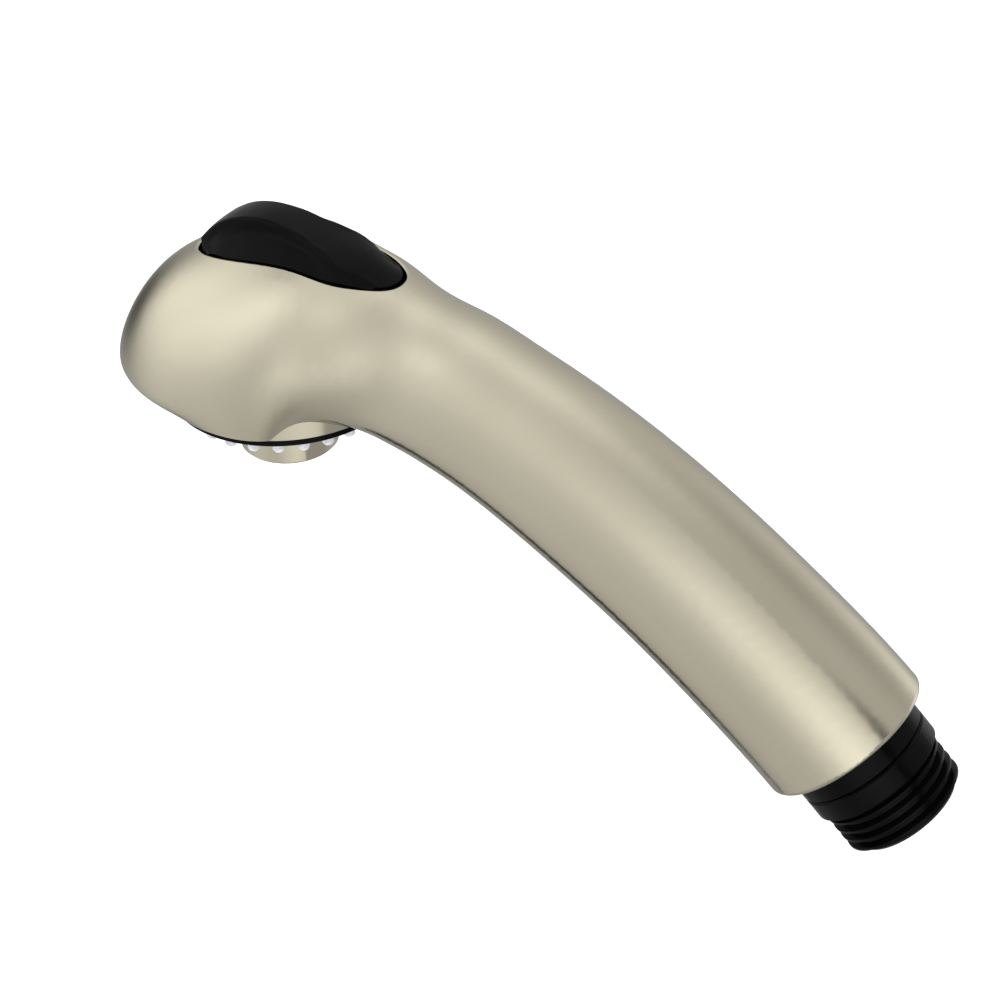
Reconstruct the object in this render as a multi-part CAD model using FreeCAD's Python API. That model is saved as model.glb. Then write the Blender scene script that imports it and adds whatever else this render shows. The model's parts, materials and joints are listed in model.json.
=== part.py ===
"""Pull-out kitchen faucet spray head: a brushed wand with a rocker diverter button.

Frame, in millimetres: the origin is the centre of the hose thread's end face, XZ is the mirror plane
of the wand, +Z is up with the spray falling towards -Z, and the wand runs towards -X.
"""
import FreeCAD, Part
import math
import os

V = FreeCAD.Vector
os.makedirs("parts", exist_ok=True)

# ------------------------------------------------------------------ driving dimensions
# hose end
INLET_TILT = 47.5          # degrees the hose axis points below the horizontal
THREAD_R = 20.955 / 2      # G 1/2 thread, outside
THREAD_PITCH = 1.814
THREAD_DEPTH = 1.0
THREAD_LEN = 7.6
SHOULDER_R = 11.22         # black shoulder behind the thread and retaining ring behind it
SHOULDER_END = 11.9
COLLAR_START = 12.0
SHELL_START = 16.0         # distance from the thread's end face to the shell's rim
COLLAR_END = 24.0
SEAL_END = 31.0            # end of the collar's narrow part, over the connector's O-ring
SHELL_BORE_R = 11.5
INLET_R = 7.0              # mouth of the hose connector, where the hose's outlet seats
INLET_DEPTH = 3.2
WALL = 2.2
RIM_ROUND = 0.9            # rounding of the shell's open end
POCKET_ROUND = 0.4         # rounding of the button's pocket

# spray head
SPRAY_X = -106.5           # the vertical spray axis
RIM_Z = 54.3               # lower edge of the shell's round skirt
RIM_R = 18.35
RIM_BORE_R = 16.9
FACE_R = 18.1
FACE_Z = 53.1              # underside of the black face ring
MAT_R = 16.6               # nozzle mat and chamber ring inside the skirt
NOZZLE_TIP_Z = 50.95
NOZZLE_R = 0.95
NOZZLE_NECK_R = 0.65       # thinner root of each nipple, inside the face
NOZZLE_ROWS = ((15.6, 25, 6.1), (12.0, 18, 10.0))      # circle radius, count, first one's angle
SLEEVE_R = 7.95            # aerator sleeve
SLEEVE_Z = 43.4

# button
BUTTON_X, BUTTON_A, BUTTON_B, BUTTON_N = -101.9, 16.8, 7.3, 2.22
BUTTON_GAP = 0.5
BUTTON_BOTTOM = 74.9       # lower edge of the button's skirt
PIVOT_X, PIVOT_Z, PIVOT_R = -96.5, 72.5, 1.25
YOKE_PEG_R = 0.8
RUN = 0.05                 # radial running clearance of what turns or slides

# Handle stations from the rim towards the head: x, z, tilt below the horizontal, radius
HANDLE = (
    (-10.81, 11.80, 47.5, 14.2), (-16.1, 17.1, 44.6, 14.1), (-27.3, 27.2, 40.7, 13.8),
    (-38.9, 36.8, 37.7, 13.5), (-51.1, 45.6, 34.0, 13.2), (-63.9, 53.5, 29.1, 12.7),
    (-70.6, 57.0, 26.0, 12.5), (-77.4, 60.1, 22.3, 12.5),
)
# Head stations, as offsets from the spray axis:
# x, z, tilt, half width, height above the centre, depth below it
HEAD = (
    (22.0, 62.9, 18.0, 12.7, 12.1, 12.2), (16.0, 64.0, 13.0, 14.4, 14.3, 11.8),
    (11.0, 63.6, 9.0, 16.2, 16.3, 15.6), (6.0, 62.4, 5.0, 18.2, 19.0, 26.0),
    (0.0, 61.0, 1.5, 19.3, 20.2, 19.5), (-6.0, 60.0, 0.0, 19.3, 19.7, 11.6),
    (-12.0, 59.3, 0.0, 18.7, 18.2, 6.9), (-17.0, 59.2, 0.0, 16.7, 15.5, 5.2),
    (-21.0, 58.9, 0.0, 13.6, 12.2, 3.7), (-24.0, 58.3, 0.0, 10.2, 8.6, 2.7),
    (-26.2, 57.6, 0.0, 6.6, 4.9, 1.8), (-27.3, 57.1, 0.0, 3.2, 2.1, 1.0),
)
NOSE_TIP = (-27.6, 56.7)
STEP, AROUND = 2.4, 32      # spacing of the form's sections, and points round each
N_UP, N_LOW = 1.95, 2.4     # fullness of the head's sections, 2 being an ellipse

# Button: x, height of the crest, fall from the crest to the side edge, half width of the raised
# spine, and how much of the fall is the spine's steep flank and the thumb ledge below it
CREST = (
    (-121.5, 75.2, 0.6, 1.4, 1.0), (-119.5, 77.4, 1.2, 1.8, 1.0), (-117.5, 79.5, 2.3, 2.3, 1.0),
    (-115.0, 81.8, 4.1, 2.6, 1.0), (-112.0, 83.5, 5.3, 3.0, 1.0), (-109.0, 84.3, 5.6, 3.2, 1.0),
    (-106.0, 84.4, 5.3, 3.2, 1.0), (-102.0, 83.7, 4.4, 3.3, 1.0), (-98.0, 82.4, 3.5, 3.9, 1.0),
    (-94.0, 81.0, 3.1, 4.9, 0.8), (-90.0, 79.3, 2.1, 5.2, 0.3), (-86.5, 77.3, 0.6, 4.8, 0.0),
    (-83.0, 74.8, 0.4, 4.5, 0.0),
)
FLANK = 0.8                # width of the spine's flank
BEYOND = 3.0               # half width the button's crown keeps past the ends of its outline


# ------------------------------------------------------------------ helpers
def rad(deg):
    return math.radians(deg)


def tidy(shape):
    solids = sorted(shape.Solids, key=lambda s: -s.Volume)
    return solids[0] if len(solids) == 1 or solids[1].Volume < 0.01 * solids[0].Volume else shape


def save(name, shape):
    shape.exportStep("parts/%s.step" % name)


def rod(r, z0, z1, x=SPRAY_X, y=0.0):
    """Upright round bar."""
    return Part.makeCylinder(r, z1 - z0, V(x, y, z0))


def tube(r_out, r_in, z0, z1, x=SPRAY_X, y=0.0):
    return rod(r_out, z0, z1, x, y).cut(rod(r_in, z0 - 1, z1 + 1, x, y))


def block(x0, x1, y0, y1, z0, z1):
    return Part.makeBox(x1 - x0, y1 - y0, z1 - z0, V(x0, y0, z0))


def yrod(r, x, z, y0, y1):
    """Round bar along Y."""
    return Part.makeCylinder(r, y1 - y0, V(x, y0, z), V(0, 1, 0))


def spun(points):
    """Solid of revolution on the Z axis from (radius, height) corners."""
    pts = [V(r, 0, z) for r, z in points]
    face = Part.Face(Part.makePolygon(pts + [pts[0]]))
    return face.revolve(V(0, 0, 0), V(0, 0, 1), 360)


def on_spray(shape, z=0.0):
    shape.translate(V(SPRAY_X, 0, z))
    return shape


def on_inlet(shape, s=0.0):
    """Place a shape built on +Z onto the hose axis, its z = 0 at distance s from the end face."""
    shape.rotate(V(0, 0, 0), V(0, 1, 0), -(90.0 - INLET_TILT))
    inward = V(-math.cos(rad(INLET_TILT)), 0, math.sin(rad(INLET_TILT)))
    shape.translate(inward * s)
    return shape


def ring(major, minor, z=0.0):
    return Part.makeTorus(major, minor, V(0, 0, z))


def coil(radius, wire, height, turns):
    """Compression spring standing on z = 0."""
    helix = Part.makeLongHelix(height / turns, height, radius)
    start = Part.Wire(Part.Edge(Part.Circle(V(radius, 0, 0), V(0, 1, 0), wire)))
    return Part.Wire(helix).makePipeShell([start], True, True)


# ------------------------------------------------------------------ shell
def section(x, z, tilt, half_w, up, down, n_up, n_low):
    """Points round one section across the wand, leaning with the wand's centre line."""
    pts = []
    for i in range(AROUND):
        a = 2 * math.pi * (i + 0.5) / AROUND
        c, s = math.cos(a), math.sin(a)
        n, tall = (n_up, up) if s >= 0 else (n_low, down)
        y = half_w * math.copysign(abs(c) ** (2 / n), c)
        h = tall * math.copysign(abs(s) ** (2 / n), s)
        pts.append(V(x + h * math.sin(rad(tilt)), y, z + h * math.cos(rad(tilt))))
    return pts


def stations():
    """Evenly spaced stations, smoothly interpolated through the handle and head tables."""
    rows = [(x, z, tilt, r, r, r) for x, z, tilt, r in HANDLE]
    rows += [(SPRAY_X + dx, z, tilt, w, up, down) for dx, z, tilt, w, up, down in HEAD]
    rows.append((SPRAY_X + NOSE_TIP[0], NOSE_TIP[1], 0.0, 0.0, 0.0, 0.0))
    params = [0.0]
    for a, b in zip(rows, rows[1:]):
        gap = math.sqrt(sum((a[k] - b[k]) ** 2 for k in (0, 1, 3, 4)))
        params.append(params[-1] + gap)
    curves = []
    for k in range(6):
        curve = Part.BSplineCurve()
        curve.interpolate(Points=[V(row[k], t, 0) for row, t in zip(rows, params)], Parameters=params)
        curves.append(curve)
    count = int(round(params[-1] / STEP))
    out = []
    for i in range(count + 1):
        t = params[-1] * i / count
        out.append([curve.value(t).x for curve in curves])
    return out


def soften(points, closed):
    """Control points of the uniform cubic curve that runs through the given points."""
    n = len(points)
    out = []
    for i, p in enumerate(points):
        if closed or 0 < i < n - 1:
            out.append(p - (points[i - 1] + points[(i + 1) % n] - p * 2) * (1 / 6))
        else:
            out.append(p)
    return out


def wand(shrink=0.0):
    """Outer form of the wand, or the same form shrunk by a wall thickness."""
    nose_x, widest = -108.0, 19.4
    f = 1.0 - shrink / widest
    rings = []
    for x, z, tilt, w, up, down in stations():
        if x < nose_x:
            x, w, up = nose_x + (x - nose_x) * f, w * f, up * f
        else:
            w, up = w - shrink, up - shrink
            down -= shrink * min((x - nose_x) / 12.0, 1.0)
        in_head = min(max((-77.0 - x) / 12.0, 0.0), 1.0)
        rings.append(section(x, z, tilt, w, up, down, 2.0 + (N_UP - 2.0) * in_head,
                             2.0 + (N_LOW - 2.0) * in_head))
    # run on past the rim, and mirror the last ring through the tip so the nose closes smoothly
    outward = V(math.cos(rad(INLET_TILT)), 0, -math.sin(rad(INLET_TILT)))
    start = rings[0]
    rings = [[p + outward * (STEP * k) for p in start] for k in (3, 2, 1)] + rings
    tip = rings[-1][0]
    rings = [soften(ring_pts, True) for ring_pts in rings]
    columns = []
    for j in range(AROUND):
        line = [ring_pts[j] for ring_pts in rings]
        line = soften(line + [tip * 2 - line[-2]], False)[:-1]
        columns.append(line + [tip * 2 - line[-2]])
    rows_n = len(rings) + 1
    skin = Part.BSplineSurface()
    skin.buildFromPolesMultsKnots(columns, [1] * (AROUND + 1), [1] * (rows_n + 4),
                                  [float(k) for k in range(AROUND + 1)],
                                  [float(k) for k in range(rows_n + 4)], True, False, 3, 3)
    skin.segment(0.0, float(AROUND), 3.0, float(rows_n))
    side = skin.toShape()
    rim = [e for e in side.Edges if not e.Degenerated and e.BoundBox.XMax > -6 and e.isClosed()]
    cap = Part.Face(Part.Wire(rim[0]))
    return Part.Solid(Part.Shell([side, cap]))


def oval(grow, z0, z1):
    """Upright prism of the button's outline."""
    pts = []
    for i in range(48):
        a = 2 * math.pi * i / 48
        c, s = math.cos(a), math.sin(a)
        x = (BUTTON_A + grow) * math.copysign(abs(c) ** (2 / BUTTON_N), c)
        y = (BUTTON_B + grow) * math.copysign(abs(s) ** (2 / BUTTON_N), s)
        pts.append(V(BUTTON_X + x, y, z0))
    curve = Part.BSplineCurve()
    curve.interpolate(pts, PeriodicFlag=True)
    return Part.Face(Part.Wire(curve.toShape())).extrude(V(0, 0, z1 - z0))


def outline_reach(point, grow):
    """1 on the button's outline grown by that much, less inside it."""
    return (abs((point.x - BUTTON_X) / (BUTTON_A + grow)) ** BUTTON_N
            + abs(point.y / (BUTTON_B + grow)) ** BUTTON_N)


def edges_where(shape, is_on):
    """Edges whose every sampled point passes the test."""
    found = []
    for edge in shape.Edges:
        if edge.Degenerated:
            continue
        first, last = edge.ParameterRange
        if all(is_on(edge.valueAt(first + (last - first) * k / 8)) for k in range(9)):
            found.append(edge)
    return found


def rim_edge(point):
    """Outer corner of the shell's open end."""
    inward = V(-math.cos(rad(INLET_TILT)), 0, math.sin(rad(INLET_TILT)))
    along = point.dot(inward)
    off = (point - inward * along).Length
    return abs(along - SHELL_START) < 0.03 and off > SHELL_BORE_R + 1


def make_shell():
    skirt = rod(RIM_R - 0.1, RIM_Z, RIM_Z + 5)
    below = rod(RIM_R, RIM_Z - 25, RIM_Z).fuse(block(-140, SPRAY_X + 8, -30, 30, RIM_Z - 25, RIM_Z))
    beyond = on_inlet(Part.makeCylinder(30, 30), SHELL_START - 30)
    body = wand().cut(beyond).cut(below).fuse(skirt)
    inner = wand(WALL).cut(on_inlet(Part.makeCylinder(30, 38), SHELL_START - 30))
    inner = inner.cut(block(-140, SPRAY_X + 13, -30, 30, RIM_Z - 25, RIM_Z + 3.2))
    inner = inner.fuse(rod(RIM_BORE_R, RIM_Z - 2, PLATE_Z0 + 0.1))
    body = body.cut(inner)
    body = body.cut(on_inlet(Part.makeCylinder(SHELL_BORE_R, 16), SHELL_START - 2))
    body = tidy(body.cut(oval(BUTTON_GAP, 68, 90)))
    body = body.makeFillet(RIM_ROUND, edges_where(body, rim_edge))
    pocket = edges_where(body, lambda p: p.z > 65 and abs(outline_reach(p, BUTTON_GAP) - 1) < 0.06)
    top = max((edge for edge in pocket if edge.Length > 20), key=lambda edge: edge.CenterOfMass.z)
    return body.makeFillet(POCKET_ROUND, [top])


# ------------------------------------------------------------------ button
def half_width(x):
    """Half width of the button's outline at x."""
    inside = max(1 - abs((x - BUTTON_X) / BUTTON_A) ** BUTTON_N, 0)
    return max(BUTTON_B * inside ** (1 / BUTTON_N), BEYOND)


def button_form(drop=0.0):
    """Long solid with the button's crowned top, before it is cut to the button's outline."""
    wires = []
    for x, crest, fall, spine, share in CREST:
        pts = []
        half = half_width(x)
        spine = min(spine, 0.75 * half)
        for k in range(-28, 29):
            y = 0.33 * k
            u, past = abs(y / half), abs(y) - spine
            flank = min(max(past / FLANK, 0), 1)
            flank = flank * flank * (3 - 2 * flank)
            ledge = max(past, 0) / (half - spine)
            stepped = 0.12 * u * u + 0.28 * flank + 0.60 * ledge
            pts.append(V(x, y, crest - drop - fall * ((1 - share) * u * u + share * stepped)))
        top = Part.BSplineCurve()
        top.interpolate(pts)
        a, b = pts[0], pts[-1]
        low_a, low_b = V(x, a.y, 60), V(x, b.y, 60)
        sides = [Part.makeLine(b, low_b), Part.makeLine(low_b, low_a), Part.makeLine(low_a, a)]
        wires.append(Part.Wire([top.toShape()] + sides))
    return Part.makeLoft(wires, True, False)


def make_button():
    cap = button_form().common(oval(0, BUTTON_BOTTOM, 90))
    hollow = button_form(1.7).common(oval(-1.3, 70, 90))
    cap = cap.cut(hollow)
    lift = button_form(0.8)
    legs = None
    for side in (-1, 1):
        y0, y1 = sorted((side * 2.9, side * 4.6))
        leg = block(PIVOT_X - 2.2, PIVOT_X + 2.2, y0, y1, PIVOT_Z, 90).common(lift)
        leg = leg.fuse(yrod(2.2, PIVOT_X, PIVOT_Z, y0, y1))
        arm = Part.Face(Part.makePolygon([
            V(PIVOT_X, y0, PIVOT_Z + 2.2), V(PIVOT_X, y0, PIVOT_Z - 2.0),
            V(SPRAY_X, y0, PIVOT_Z - YOKE_PEG_R), V(SPRAY_X, y0, PIVOT_Z + YOKE_PEG_R),
            V(PIVOT_X, y0, PIVOT_Z + 2.2)])).extrude(V(0, y1 - y0, 0))
        p0, p1 = sorted((side * 1.8, side * 4.6))
        leg = leg.fuse(arm).fuse(yrod(YOKE_PEG_R, SPRAY_X, PIVOT_Z, p0, p1))
        legs = leg if legs is None else legs.fuse(leg)
    button = cap.fuse(legs)
    button = button.cut(yrod(PIVOT_R + RUN, PIVOT_X, PIVOT_Z, -8, 8))
    return tidy(button)


# ------------------------------------------------------------------ diverter inside the head
BODY_R = 8.6
BORE_R = 4.0
BORE_FLOOR = 61.8
PLATE_Z0, PLATE_Z1 = 59.0, 61.0
BODY_TOP = 67.6
COVER_TOP = 69.2
SPOOL_Z = 64.4
PORT_Z, PORT_TILT = 66.6, 14.0     # where the waterway's line meets the spray axis, and its slope
SCREW_CIRCLE, SCREW_ANGLES = 14.2, (45, 135, 225, 315)
DUCT_X = SPRAY_X - 11.8            # duct from the valve down to the spray chamber


def stub(r, length, start=0.0):
    """Bar leaving the diverter towards the handle, along the waterway."""
    d = V(math.cos(rad(PORT_TILT)), 0, -math.sin(rad(PORT_TILT)))
    return Part.makeCylinder(r, length, V(SPRAY_X, 0, PORT_Z) + d * start, d)


def screw_places():
    for angle in SCREW_ANGLES:
        yield SPRAY_X + SCREW_CIRCLE * math.cos(rad(angle)), SCREW_CIRCLE * math.sin(rad(angle))


def make_diverter_body():
    plate = rod(16.2, PLATE_Z0, PLATE_Z1)
    duct = block(DUCT_X - 2.4, SPRAY_X, -3, 3, PLATE_Z0, BODY_TOP)
    inlet = stub(6.0, 21.0).cut(rod(17.5, 50, PLATE_Z0))
    body = rod(BODY_R, 57.0, BODY_TOP).fuse(plate).fuse(duct).fuse(inlet)
    body = body.cut(stub(4.1, 24.0, 3.0)).cut(stub(5.0, 7.0, 15.2))
    body = body.cut(rod(BORE_R, BORE_FLOOR, BODY_TOP + 1)).cut(rod(2.6, 60.0, 62.5))
    body = body.cut(rod(7.65, 56.0, 60.2))
    body = body.cut(rod(1.6, 58.0, 65.8, DUCT_X))
    body = body.cut(Part.makeCylinder(1.4, 12.0, V(SPRAY_X, 0, 64.6), V(-1, 0, 0)))
    body = body.cut(block(-140, -80, -20, 20, BODY_TOP, 80))
    for x, y in screw_places():
        body = body.cut(rod(0.95, 58, 62, x, y))
    return tidy(body)


def make_cover():
    cover = tube(8.4, 1.45 + RUN, BODY_TOP, COVER_TOP)
    foot = block(-99.4, -94.3, -6.9, 6.9, BODY_TOP, COVER_TOP)
    cover = cover.fuse(foot)
    for side in (-1, 1):
        y0, y1 = sorted((side * 4.95, side * 6.9))
        lug = block(PIVOT_X - 2.1, PIVOT_X + 2.1, y0, y1, BODY_TOP, PIVOT_Z)
        cover = cover.fuse(lug).fuse(yrod(2.1, PIVOT_X, PIVOT_Z, y0, y1))
    cover = cover.cut(yrod(PIVOT_R, PIVOT_X, PIVOT_Z, -8, 8))
    return tidy(cover)


def make_spool():
    """Turned spool: two lands with seal grooves, a stem, and the groove the yoke pegs ride in."""
    r, stem, disc, peg = BORE_R - RUN, 1.45, 3.0, YOKE_PEG_R + 0.25
    z = SPOOL_Z
    profile = [
        (0, z), (r, z), (r, z + 0.7), (r - 0.7, z + 0.7), (r - 0.7, z + 1.6), (r, z + 1.6), (r, z + 2.2),
        (stem, z + 2.7), (stem, PIVOT_Z - peg - 0.9), (disc, PIVOT_Z - peg - 0.9), (disc, PIVOT_Z - peg),
        (1.35, PIVOT_Z - peg), (1.35, PIVOT_Z + peg), (disc, PIVOT_Z + peg), (disc, PIVOT_Z + peg + 0.8),
        (0, PIVOT_Z + peg + 0.8)]
    return on_spray(spun(profile))


# ------------------------------------------------------------------ waterway
def make_waterway():
    """Curved pipe through the handle, from the hose connector to the diverter."""
    inward = V(-math.cos(rad(INLET_TILT)), 0, math.sin(rad(INLET_TILT)))
    head_dir = V(-math.cos(rad(PORT_TILT)), 0, math.sin(rad(PORT_TILT)))
    end = V(SPRAY_X, 0, PORT_Z) - head_dir * 15.4
    path = [inward * 27.0, inward * 33.0, V(-33.0, 0, 32.2), V(-51.2, 0, 45.7),
            V(-67.5, 0, 55.3), V(-79.0, 0, 59.5), end - head_dir * 5.0, end]
    curve = Part.BSplineCurve()
    curve.interpolate(Points=path, InitialTangent=inward * 20, FinalTangent=head_dir * 20)
    spine = Part.Wire(curve.toShape())
    pipes = []
    for r in (4.95, 4.1):
        start = Part.Wire(Part.Edge(Part.Circle(inward * 27.0, inward, r)))
        pipes.append(spine.makePipeShell([start], True, False))
    return pipes[0].cut(pipes[1])


# ------------------------------------------------------------------ hose connector
def make_connector():
    """Threaded tail for the hose with a shoulder and a spigot that enters the handle."""
    root = THREAD_R - THREAD_DEPTH
    profile = [(root - 0.6, 0.0), (root, 0.6)]
    z = 0.6
    while z + THREAD_PITCH <= THREAD_LEN + 0.4:
        profile += [(root, z + 0.25), (THREAD_R, z + 0.75), (THREAD_R, z + 1.15), (root, z + 1.65)]
        z += THREAD_PITCH
    profile += [(root, THREAD_LEN + 0.3), (SHOULDER_R - 0.5, THREAD_LEN + 0.3),
                (SHOULDER_R, THREAD_LEN + 0.8), (SHOULDER_R, SHOULDER_END - 0.3),
                (SHOULDER_R - 0.3, SHOULDER_END), (9.0, SHOULDER_END), (9.0, 26.0),
                (8.1, 26.0), (8.1, 27.4), (9.0, 27.4), (9.0, 29.2), (8.5, 29.7)]
    profile += [(5.0, 29.7), (5.0, 26.6), (4.0, 26.6), (4.0, 25.4), (6.3, 24.6), (6.3, 4.5), (6.6, 4.5),
                (6.6, 3.7), (INLET_R, INLET_DEPTH), (INLET_R, 0.0)]
    return on_inlet(spun(profile))


def make_collar():
    """Retaining ring between the connector and the shell."""
    r_in, fit = 9.03, SHELL_BORE_R - 0.04
    profile = [(r_in, COLLAR_START), (SHOULDER_R - 0.3, COLLAR_START), (SHOULDER_R, COLLAR_START + 0.3),
               (SHOULDER_R, SHELL_START - 0.6), (SHOULDER_R - 0.6, SHELL_START - 0.5),
               (SHOULDER_R - 0.6, SHELL_START), (fit, SHELL_START + 0.6), (fit, COLLAR_END),
               (10.4, COLLAR_END + 0.6), (10.4, SEAL_END), (r_in, SEAL_END)]
    return on_inlet(spun(profile))


def make_check_body():
    """Check valve cartridge: a cage with a seat at the hose side and a guide at the far side."""
    cage = spun([(6.27, 6.0), (6.27, 19.0), (5.5, 19.0), (5.5, 8.3), (4.2, 7.2), (4.2, 6.0)])
    hub = tube(2.2, 1.2, 17.6, 19.0, 0)
    for k in range(3):
        spoke = block(1.7, 5.9, -0.6, 0.6, 17.6, 19.0)
        spoke.rotate(V(0, 0, 0), V(0, 0, 1), 120 * k)
        hub = hub.fuse(spoke)
    hub = hub.cut(rod(1.2, 17, 20, 0))
    return on_inlet(tidy(cage.fuse(hub)))


def make_poppet():
    profile = [(0, 7.25), (4.1, 7.25), (5.0, 8.05), (5.0, 9.0), (2.2, 9.8), (1.15, 9.8), (1.15, 21.0),
               (0, 21.0)]
    return on_inlet(spun(profile))


def make_screen(r, s, thick, hole, pitch):
    """Thin perforated disc on a local Z axis."""
    disc = Part.makeCylinder(r, thick, V(0, 0, s))
    holes = []
    n = int(r / pitch)
    for i in range(-n, n + 1):
        for j in range(-n, n + 1):
            x, y = pitch * (i + 0.5 * (j % 2)), pitch * 0.87 * j
            if math.hypot(x, y) < r - hole - 0.7:
                holes.append(Part.makeCylinder(hole, thick + 2, V(x, y, s - 1)))
    return disc.cut(Part.makeCompound(holes))


# ------------------------------------------------------------------ spray face
def nozzle_places():
    for radius, count, first in NOZZLE_ROWS:
        for k in range(count):
            a = rad(first + 360 * k / count)
            yield SPRAY_X + radius * math.cos(a), radius * math.sin(a)


NECK_Z = RIM_Z - 0.2


def make_face():
    """Black ring plate that carries the nozzles and closes the shell's skirt."""
    rim = RIM_BORE_R - 0.05
    face = spun([(8.2, FACE_Z), (FACE_R - 0.2, FACE_Z), (FACE_R, FACE_Z + 0.2), (FACE_R, RIM_Z),
                 (rim, RIM_Z), (rim, 55.4), (8.2, 55.4)])
    face = on_spray(face)
    holes = []
    for x, y in nozzle_places():
        holes += [rod(NOZZLE_R, FACE_Z - 1, NECK_Z, x, y), rod(NOZZLE_NECK_R, NECK_Z - 1, 60, x, y)]
    return face.cut(Part.makeCompound(holes))


def make_mat():
    """Soft mat behind the face, with a drilled nipple through every hole of the face."""
    mat = tube(MAT_R, 8.7, 55.4, 56.6)
    nipples, bores = [], []
    for x, y in nozzle_places():
        tip = Part.makeCone(NOZZLE_R - 0.3, NOZZLE_R, 0.4, V(x, y, NOZZLE_TIP_Z))
        nipples += [tip, rod(NOZZLE_R, NOZZLE_TIP_Z + 0.4, NECK_Z, x, y),
                    rod(NOZZLE_NECK_R, NECK_Z - 0.1, 55.6, x, y)]
        bores.append(Part.makeCylinder(0.4, 8, V(x, y, NOZZLE_TIP_Z - 1)))
    mat = mat.multiFuse(nipples)
    return tidy(mat.cut(Part.makeCompound(bores)))


def make_distributor():
    """Chamber ring that clamps the mat and stands off the diverter's plate."""
    parts = [tube(9.6, 8.7, 56.6, PLATE_Z0)]
    parts += [rod(1.9, 56.6, PLATE_Z0, x, y) for x, y in screw_places()]
    for angle in (90, 210, 330):
        rib = block(9.3, 15.6, -0.6, 0.6, 57.4, PLATE_Z0)
        rib.rotate(V(0, 0, 0), V(0, 0, 1), angle)
        rib.translate(V(SPRAY_X, 0, 0))
        parts.append(rib)
    ring_shape = tube(MAT_R, 15.0, 56.6, PLATE_Z0).multiFuse(parts)
    ring_shape = ring_shape.common(rod(MAT_R, 56, PLATE_Z0))
    ring_shape = ring_shape.cut(block(-95, -85, -5.5, 5.5, 57.1, 60))      # room for the waterway tube
    return tidy(ring_shape.cut(Part.makeCompound([rod(0.9, 57.0, 60, x, y) for x, y in screw_places()])))


def make_screw(index):
    x, y = list(screw_places())[index]
    shank = rod(0.88, 57.1, PLATE_Z1, x, y)
    head = rod(1.6, PLATE_Z1, PLATE_Z1 + 1.2, x, y)
    slot = block(x - 2, x + 2, y - 0.25, y + 0.25, PLATE_Z1 + 0.7, PLATE_Z1 + 2)
    return shank.fuse(head).cut(slot)


def make_sleeve():
    """Aerator housing, a plated sleeve screwed up into the diverter body."""
    profile = [(6.3, SLEEVE_Z), (SLEEVE_R - 0.4, SLEEVE_Z), (SLEEVE_R, SLEEVE_Z + 0.4), (SLEEVE_R, 56.4),
               (7.6, 56.8), (7.6, 59.6), (6.92, 59.6), (6.92, 44.3), (6.3, 44.3)]
    return on_spray(spun(profile))


def make_cartridge():
    """Aerator insert: a cup with a cross, standing on the sleeve's lip."""
    cup = tube(6.9, 5.9, 45.0, 51.0)
    floor = tube(6.2, 4.6, 45.0, 46.2)
    cup = cup.fuse(floor)
    for k in range(2):
        bar = block(-6.2, 6.2, -0.45, 0.45, 45.0, 46.6)
        bar.rotate(V(0, 0, 0), V(0, 0, 1), 90 * k)
        bar.translate(V(SPRAY_X, 0, 0))
        cup = cup.fuse(bar)
    return tidy(cup)


# ------------------------------------------------------------------ write every piece
PIECES = {
    "body_shell": make_shell,
    "rocker_button": make_button,
    "button_pivot_pin": lambda: yrod(PIVOT_R, PIVOT_X, PIVOT_Z, -6.9, 6.9),
    "valve_cover": make_cover,
    "diverter_body": make_diverter_body,
    "diverter_spool": make_spool,
    "spool_seal": lambda: on_spray(spun([(BORE_R - 0.74, SPOOL_Z + 0.72), (BORE_R - 0.02, SPOOL_Z + 0.85),
                                         (BORE_R - 0.02, SPOOL_Z + 1.45), (BORE_R - 0.74, SPOOL_Z + 1.58)])),
    "spool_spring": lambda: on_spray(coil(3.1, 0.28, 2.0, 2.5), BORE_FLOOR + 0.29),
    "waterway_tube": make_waterway,
    "hose_connector": make_connector,
    "retaining_collar": make_collar,
    "connector_o_ring": lambda: on_inlet(ring(8.54, 0.42, 26.7)),
    "check_valve_cage": make_check_body,
    "check_valve_poppet": make_poppet,
    "check_valve_spring": lambda: on_inlet(coil(3.1, 0.3, 7.0, 4), 10.2),
    "inlet_screen": lambda: on_inlet(make_screen(6.58, 0, 0.6, 0.45, 1.5), 3.88),
    "spray_face": make_face,
    "nozzle_mat": make_mat,
    "chamber_ring": make_distributor,
    "face_screw_1": lambda: make_screw(0),
    "face_screw_2": lambda: make_screw(1),
    "face_screw_3": lambda: make_screw(2),
    "face_screw_4": lambda: make_screw(3),
    "aerator_sleeve": make_sleeve,
    "aerator_cartridge": make_cartridge,
    "aerator_screen": lambda: on_spray(make_screen(6.9, 0, 0.5, 0.42, 1.3), 44.5),
    "flow_regulator": lambda: tube(6.9, 2.2, 51.0, 52.4),
    "aerator_washer": lambda: tube(6.9, 4.4, 52.4, 53.6),
}

for piece_name, maker in PIECES.items():
    save(piece_name, maker())
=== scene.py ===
"""Looks of the pull-out spray head: materials, studio light, floor and camera."""

import json
import math

import bpy
from mathutils import Matrix, Vector

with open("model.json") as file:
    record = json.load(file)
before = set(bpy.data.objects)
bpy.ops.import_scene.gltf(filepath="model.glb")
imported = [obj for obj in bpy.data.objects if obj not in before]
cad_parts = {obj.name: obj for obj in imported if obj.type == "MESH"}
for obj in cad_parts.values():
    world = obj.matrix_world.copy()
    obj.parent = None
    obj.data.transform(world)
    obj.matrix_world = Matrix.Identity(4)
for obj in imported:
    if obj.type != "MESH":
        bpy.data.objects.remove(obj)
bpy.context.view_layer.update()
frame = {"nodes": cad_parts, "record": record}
NODES = frame["nodes"]


# ------------------------------------------------------------------ node helpers
NOISE_LOW, NOISE_HIGH = 0.3, 0.7       # range in which nearly all of a noise's values lie


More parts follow.
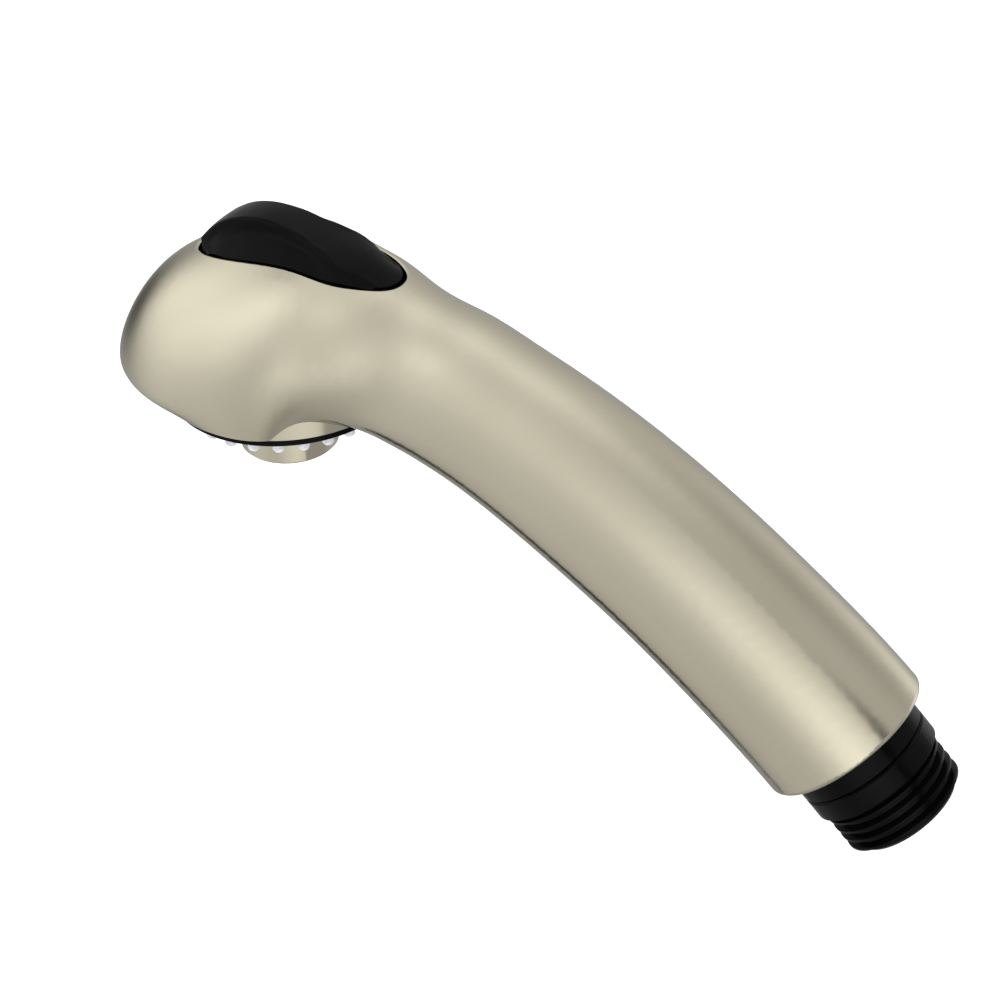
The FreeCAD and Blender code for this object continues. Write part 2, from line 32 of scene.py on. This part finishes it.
def new_material(name):
    """A material with one Principled shader, and a function that adds a node to its tree."""
    mat = bpy.data.materials.new(name)
    mat.use_nodes = True
    tree = mat.node_tree
    tree.nodes.clear()
    shader = tree.nodes.new("ShaderNodeBsdfPrincipled")
    out = tree.nodes.new("ShaderNodeOutputMaterial")
    tree.links.new(shader.outputs["BSDF"], out.inputs["Surface"])

    def add(kind, **values):
        node = tree.nodes.new(kind)
        for key, value in values.items():
            if hasattr(node, key):
                setattr(node, key, value)
            else:
                node.inputs[key.replace("_", " ")].default_value = value
        return node

    return mat, tree, shader, add


def grain(tree, add, scale, stretch=(1, 1, 1), turn=(0, 0, 0), detail=4.0, rough=0.55):
    """Noise in object space, stretched along one direction. Returns its factor socket."""
    coord = add("ShaderNodeTexCoord")
    place = add("ShaderNodeMapping")
    place.inputs["Rotation"].default_value = [math.radians(a) for a in turn]
    place.inputs["Scale"].default_value = stretch
    noise = add("ShaderNodeTexNoise", Scale=scale, Detail=detail, Roughness=rough)
    tree.links.new(coord.outputs["Object"], place.inputs["Vector"])
    tree.links.new(place.outputs["Vector"], noise.inputs["Vector"])
    return noise.outputs["Fac"]


def spread(tree, add, source, low, high):
    """Maps a noise factor to the range low..high."""
    span = add("ShaderNodeMapRange")
    limits = {"From Min": NOISE_LOW, "From Max": NOISE_HIGH, "To Min": low, "To Max": high}
    for key, value in limits.items():
        span.inputs[key].default_value = value
    tree.links.new(source, span.inputs["Value"])
    return span.outputs["Result"]


def tint(tree, add, source, dark, light):
    """Mixes two colours by a noise factor."""
    ramp = add("ShaderNodeValToRGB")
    ramp.color_ramp.elements[0].position = NOISE_LOW
    ramp.color_ramp.elements[1].position = NOISE_HIGH
    ramp.color_ramp.elements[0].color = (*dark, 1)
    ramp.color_ramp.elements[1].color = (*light, 1)
    tree.links.new(source, ramp.inputs["Fac"])
    return ramp.outputs["Color"]


def relief(tree, add, shader, source, strength, distance):
    """Bumps the surface by a noise factor."""
    bump = add("ShaderNodeBump", Strength=strength, Distance=distance)
    tree.links.new(source, bump.inputs["Height"])
    tree.links.new(bump.outputs["Normal"], shader.inputs["Normal"])


# ------------------------------------------------------------------ materials
def satin_nickel(name, turn, rough=(0.13, 0.18)):
    """Brushed nickel plate: fine streaks along the handle over a slow, faint unevenness."""
    mat, tree, shader, add = new_material(name)
    shader.inputs["Metallic"].default_value = 1.0
    streaks = grain(tree, add, 1.0, (60, 2600, 2600), turn, 3.0)
    cloud = grain(tree, add, 55.0, detail=2.0)
    tree.links.new(tint(tree, add, cloud, (0.715, 0.664, 0.512), (0.732, 0.682, 0.532)),
                   shader.inputs["Base Color"])
    tree.links.new(spread(tree, add, streaks, *rough), shader.inputs["Roughness"])
    relief(tree, add, shader, streaks, 0.015, 0.00002)
    return mat


def gloss_black(name, rough=(0.10, 0.17)):
    """Moulded black ABS with a faint flow pattern in its gloss."""
    mat, tree, shader, add = new_material(name)
    shader.inputs["Specular IOR Level"].default_value = 0.085
    flow = grain(tree, add, 220.0, detail=3.0)
    tree.links.new(tint(tree, add, flow, (0.0012, 0.0012, 0.0013), (0.0022, 0.0022, 0.0024)),
                   shader.inputs["Base Color"])
    tree.links.new(spread(tree, add, flow, *rough), shader.inputs["Roughness"])
    fine = grain(tree, add, 900.0, detail=2.0)
    relief(tree, add, shader, fine, 0.03, 0.00002)
    return mat


def plastic(name, dark, light, rough):
    """Plain moulded plastic, slightly mottled."""
    mat, tree, shader, add = new_material(name)
    mottle = grain(tree, add, 260.0, detail=4.0)
    tree.links.new(tint(tree, add, mottle, dark, light), shader.inputs["Base Color"])
    tree.links.new(spread(tree, add, mottle, *rough), shader.inputs["Roughness"])
    relief(tree, add, shader, mottle, 0.08, 0.00003)
    return mat


def silicone(name):
    """Milky nozzle rubber that lets a little light through."""
    mat, tree, shader, add = new_material(name)
    shader.inputs["Subsurface Weight"].default_value = 0.25
    shader.inputs["Subsurface Radius"].default_value = (0.0012, 0.0012, 0.0014)
    shader.inputs["Subsurface Scale"].default_value = 1.0
    cloud = grain(tree, add, 700.0, detail=3.0)
    tree.links.new(tint(tree, add, cloud, (0.60, 0.61, 0.68), (0.80, 0.81, 0.87)),
                   shader.inputs["Base Color"])
    tree.links.new(spread(tree, add, cloud, 0.28, 0.42), shader.inputs["Roughness"])
    relief(tree, add, shader, cloud, 0.08, 0.00003)
    return mat


def steel(name):
    """Drawn stainless wire and turned screws."""
    mat, tree, shader, add = new_material(name)
    shader.inputs["Metallic"].default_value = 1.0
    lines = grain(tree, add, 1.0, (900, 900, 5200), detail=3.0)
    tree.links.new(tint(tree, add, lines, (0.54, 0.54, 0.55), (0.66, 0.66, 0.67)),
                   shader.inputs["Base Color"])
    tree.links.new(spread(tree, add, lines, 0.22, 0.36), shader.inputs["Roughness"])
    relief(tree, add, shader, lines, 0.10, 0.00002)
    return mat


FINISHES = {
    "shell_nickel": satin_nickel("satin_nickel", (0, -38, 0)),
    "black_gloss": gloss_black("gloss_black"),
    "acetal_white": plastic("acetal_white", (0.72, 0.71, 0.66), (0.82, 0.81, 0.77), (0.38, 0.50)),
    "acetal_grey": plastic("acetal_grey", (0.20, 0.21, 0.23), (0.28, 0.29, 0.31), (0.40, 0.55)),
    "steel": steel("stainless"),
    "silicone": silicone("silicone"),
    "rubber_black": plastic("nitrile", (0.010, 0.010, 0.011), (0.022, 0.022, 0.023), (0.60, 0.80)),
}
# nodes whose finish differs from their material slot's
SPECIAL = {"aerator_sleeve": satin_nickel("bright_nickel", (0, 90, 0), (0.05, 0.09))}
for row in frame["record"]["subparts"]:
    mesh = NODES[row["node"]].data
    mesh.materials.clear()
    mesh.materials.append(SPECIAL.get(row["node"], FINISHES[row["material_slot"]]))


# ------------------------------------------------------------------ floor, light, camera
FLOOR_Z, FLOOR_SIZE = -0.12, 9.0       # metres


def make_floor():
    """Plain pale floor well below the spray head."""
    mesh = bpy.data.meshes.new("floor")
    s, z = FLOOR_SIZE / 2, FLOOR_Z
    mesh.from_pydata([(-s, -s, z), (s, -s, z), (s, s, z), (-s, s, z)], [], [(0, 1, 2, 3)])
    floor = bpy.data.objects.new("floor", mesh)
    bpy.context.scene.collection.objects.link(floor)
    mat, tree, shader, add = new_material("floor_paint")
    shader.inputs["Specular IOR Level"].default_value = 0.1
    cloud = grain(tree, add, 6.0, detail=3.0)
    tree.links.new(tint(tree, add, cloud, (0.90, 0.90, 0.90), (0.92, 0.92, 0.92)),
                   shader.inputs["Base Color"])
    tree.links.new(spread(tree, add, cloud, 0.75, 0.85), shader.inputs["Roughness"])
    mesh.materials.append(mat)
    floor.visible_glossy = False      # the studio light below stands in for its reflection


# Soft boxes and dark flags of the studio, as directions seen from the object:
# azimuth from +X towards +Y, elevation, half width, strength (negative is a flag), and the
# azimuth of a straight upright edge where the box ends, if it has one
STUDIO = (
    (-49, -8, 33, 0.88, -25),   # large box, low on the right, cut off straight at its far side
    (-133, 26, 36, 0.50),       # large box, left
    (-107, 54, 22, 0.27),       # box over the camera
    (25, 55, 33, 0.90),
    (10, 52, 28, -0.70),        # flag under the top light
    (41, 36, 22, -0.38),
    (56, -11, 17, 0.69),        # strip behind the hose end
    (177, 29, 24, 0.41),        # box beyond the nose
    (157, -3, 19, -0.37),       # dark flag beyond the nose
    (-18, 21, 7, -0.42),        # narrow flag that draws the stripe at the hose end
    (158, -57, 4, -0.75),       # thin flag that draws the line along the underside
    (136, -52, 12, -0.06),
    (-58, -46, 12, -0.22),
    (-142, -41, 46, 0.27),
    (-86, 0, 18, -0.07),
    (142, -15, 11, -0.14),
    (175, 76, 15, -0.20),       # flag right overhead, the grey patch beside the button
)
SKY_LEVEL, SKY_RISE = 0.429, 0.172     # grey of the studio at the horizon, and what the zenith adds
SKY_DARKEST = 0.01
EDGE_FROM, EDGE_TO = -0.03, 0.05       # softness of a box's straight edge


def direction(azimuth, elevation):
    """Unit vector for an azimuth from +X towards +Y and an elevation, in degrees."""
    a, e = math.radians(azimuth), math.radians(elevation)
    return Vector((math.cos(e) * math.cos(a), math.cos(e) * math.sin(a), math.sin(e)))


def make_studio():
    """World light: a grey gradient with the boxes and flags; the camera itself sees plain white."""
    world = bpy.data.worlds.new("studio")
    bpy.context.scene.world = world
    world.use_nodes = True
    tree = world.node_tree
    tree.nodes.clear()

    def math_node(op, a, b=None, c=None):
        node = tree.nodes.new("ShaderNodeMath")
        node.operation = op
        for i, value in enumerate((a, b, c)):
            if value is None:
                continue
            if isinstance(value, (int, float)):
                node.inputs[i].default_value = value
            else:
                tree.links.new(value, node.inputs[i])
        return node.outputs[0]

    def facing(towards):
        """Cosine of the angle between the looked-up direction and the given one."""
        dot = tree.nodes.new("ShaderNodeVectorMath")
        dot.operation = "DOT_PRODUCT"
        dot.inputs[1].default_value = towards
        tree.links.new(coord, dot.inputs[0])
        return dot.outputs["Value"]

    coord = tree.nodes.new("ShaderNodeTexCoord").outputs["Generated"]
    split = tree.nodes.new("ShaderNodeSeparateXYZ")
    tree.links.new(coord, split.inputs[0])
    total = math_node("MULTIPLY_ADD", split.outputs["Z"], SKY_RISE, SKY_LEVEL)
    for azimuth, elevation, width, strength, *edge in STUDIO:
        k = 1 / (1 - math.cos(math.radians(width)))
        near = facing(direction(azimuth, elevation))
        lobe = math_node("EXPONENT", math_node("MULTIPLY_ADD", near, k, -k))
        if edge:
            cut = tree.nodes.new("ShaderNodeMapRange")
            cut.interpolation_type = "SMOOTHSTEP"
            cut.inputs["From Min"].default_value = EDGE_FROM
            cut.inputs["From Max"].default_value = EDGE_TO
            tree.links.new(facing(direction(edge[0] - 90, 0)), cut.inputs["Value"])
            lobe = math_node("MULTIPLY", lobe, cut.outputs["Result"])
        total = math_node("MULTIPLY_ADD", lobe, strength, total)
    total = math_node("MAXIMUM", total, SKY_DARKEST)
    light = tree.nodes.new("ShaderNodeBackground")
    tree.links.new(total, light.inputs["Strength"])
    plain = tree.nodes.new("ShaderNodeBackground")
    path = tree.nodes.new("ShaderNodeLightPath")
    mix = tree.nodes.new("ShaderNodeMixShader")
    out = tree.nodes.new("ShaderNodeOutputWorld")
    tree.links.new(path.outputs["Is Camera Ray"], mix.inputs[0])
    tree.links.new(light.outputs[0], mix.inputs[1])
    tree.links.new(plain.outputs[0], mix.inputs[2])
    tree.links.new(mix.outputs[0], out.inputs["Surface"])
    light.inputs["Color"].default_value = (1, 1, 1, 1)
    plain.inputs["Color"].default_value = (1, 1, 1, 1)
    plain.inputs["Strength"].default_value = 1.0


OVERHEAD_STRENGTH, OVERHEAD_SPREAD, OVERHEAD_LEAN = 2.6, 120, (-18, 8, 0)     # angles in degrees


def make_floor_light():
    """Broad overhead light that whitens the floor and softens its shadow."""
    sun = bpy.data.lights.new("overhead", "SUN")
    sun.energy = OVERHEAD_STRENGTH
    sun.angle = math.radians(OVERHEAD_SPREAD)
    lamp = bpy.data.objects.new("overhead", sun)
    lamp.rotation_euler = [math.radians(a) for a in OVERHEAD_LEAN]
    lamp.visible_glossy = False
    bpy.context.scene.collection.objects.link(lamp)


CAMERA_ANGLES = (24.6, 33.4, -1.2)     # degrees round from the side, above the horizon, and roll
CAMERA_PLACE = (0.047198, -0.254207, 0.225201)
CAMERA_LENS, CAMERA_SENSOR = 76.56, 36.0


def make_camera():
    """Camera at the photograph's viewing angle."""
    az, el, roll = (math.radians(a) for a in CAMERA_ANGLES)
    right = Vector((math.cos(az), math.sin(az), 0))
    up = Vector((-math.sin(az) * math.sin(el), math.cos(az) * math.sin(el), math.cos(el)))
    back = Vector((math.sin(az) * math.cos(el), -math.cos(az) * math.cos(el), math.sin(el)))
    x = right * math.cos(roll) + up * math.sin(roll)
    y = up * math.cos(roll) - right * math.sin(roll)
    data = bpy.data.cameras.new("camera")
    data.sensor_width = CAMERA_SENSOR
    data.lens = CAMERA_LENS
    data.clip_start, data.clip_end = 0.01, 20
    camera = bpy.data.objects.new("camera", data)
    turn = Matrix((x, y, back)).transposed().to_4x4()
    camera.matrix_world = Matrix.Translation(CAMERA_PLACE) @ turn
    bpy.context.scene.collection.objects.link(camera)
    bpy.context.scene.camera = camera


make_floor()
make_studio()
make_floor_light()
make_camera()
view_settings = bpy.context.scene.view_settings
view_settings.view_transform = "Standard"
view_settings.look = "None"
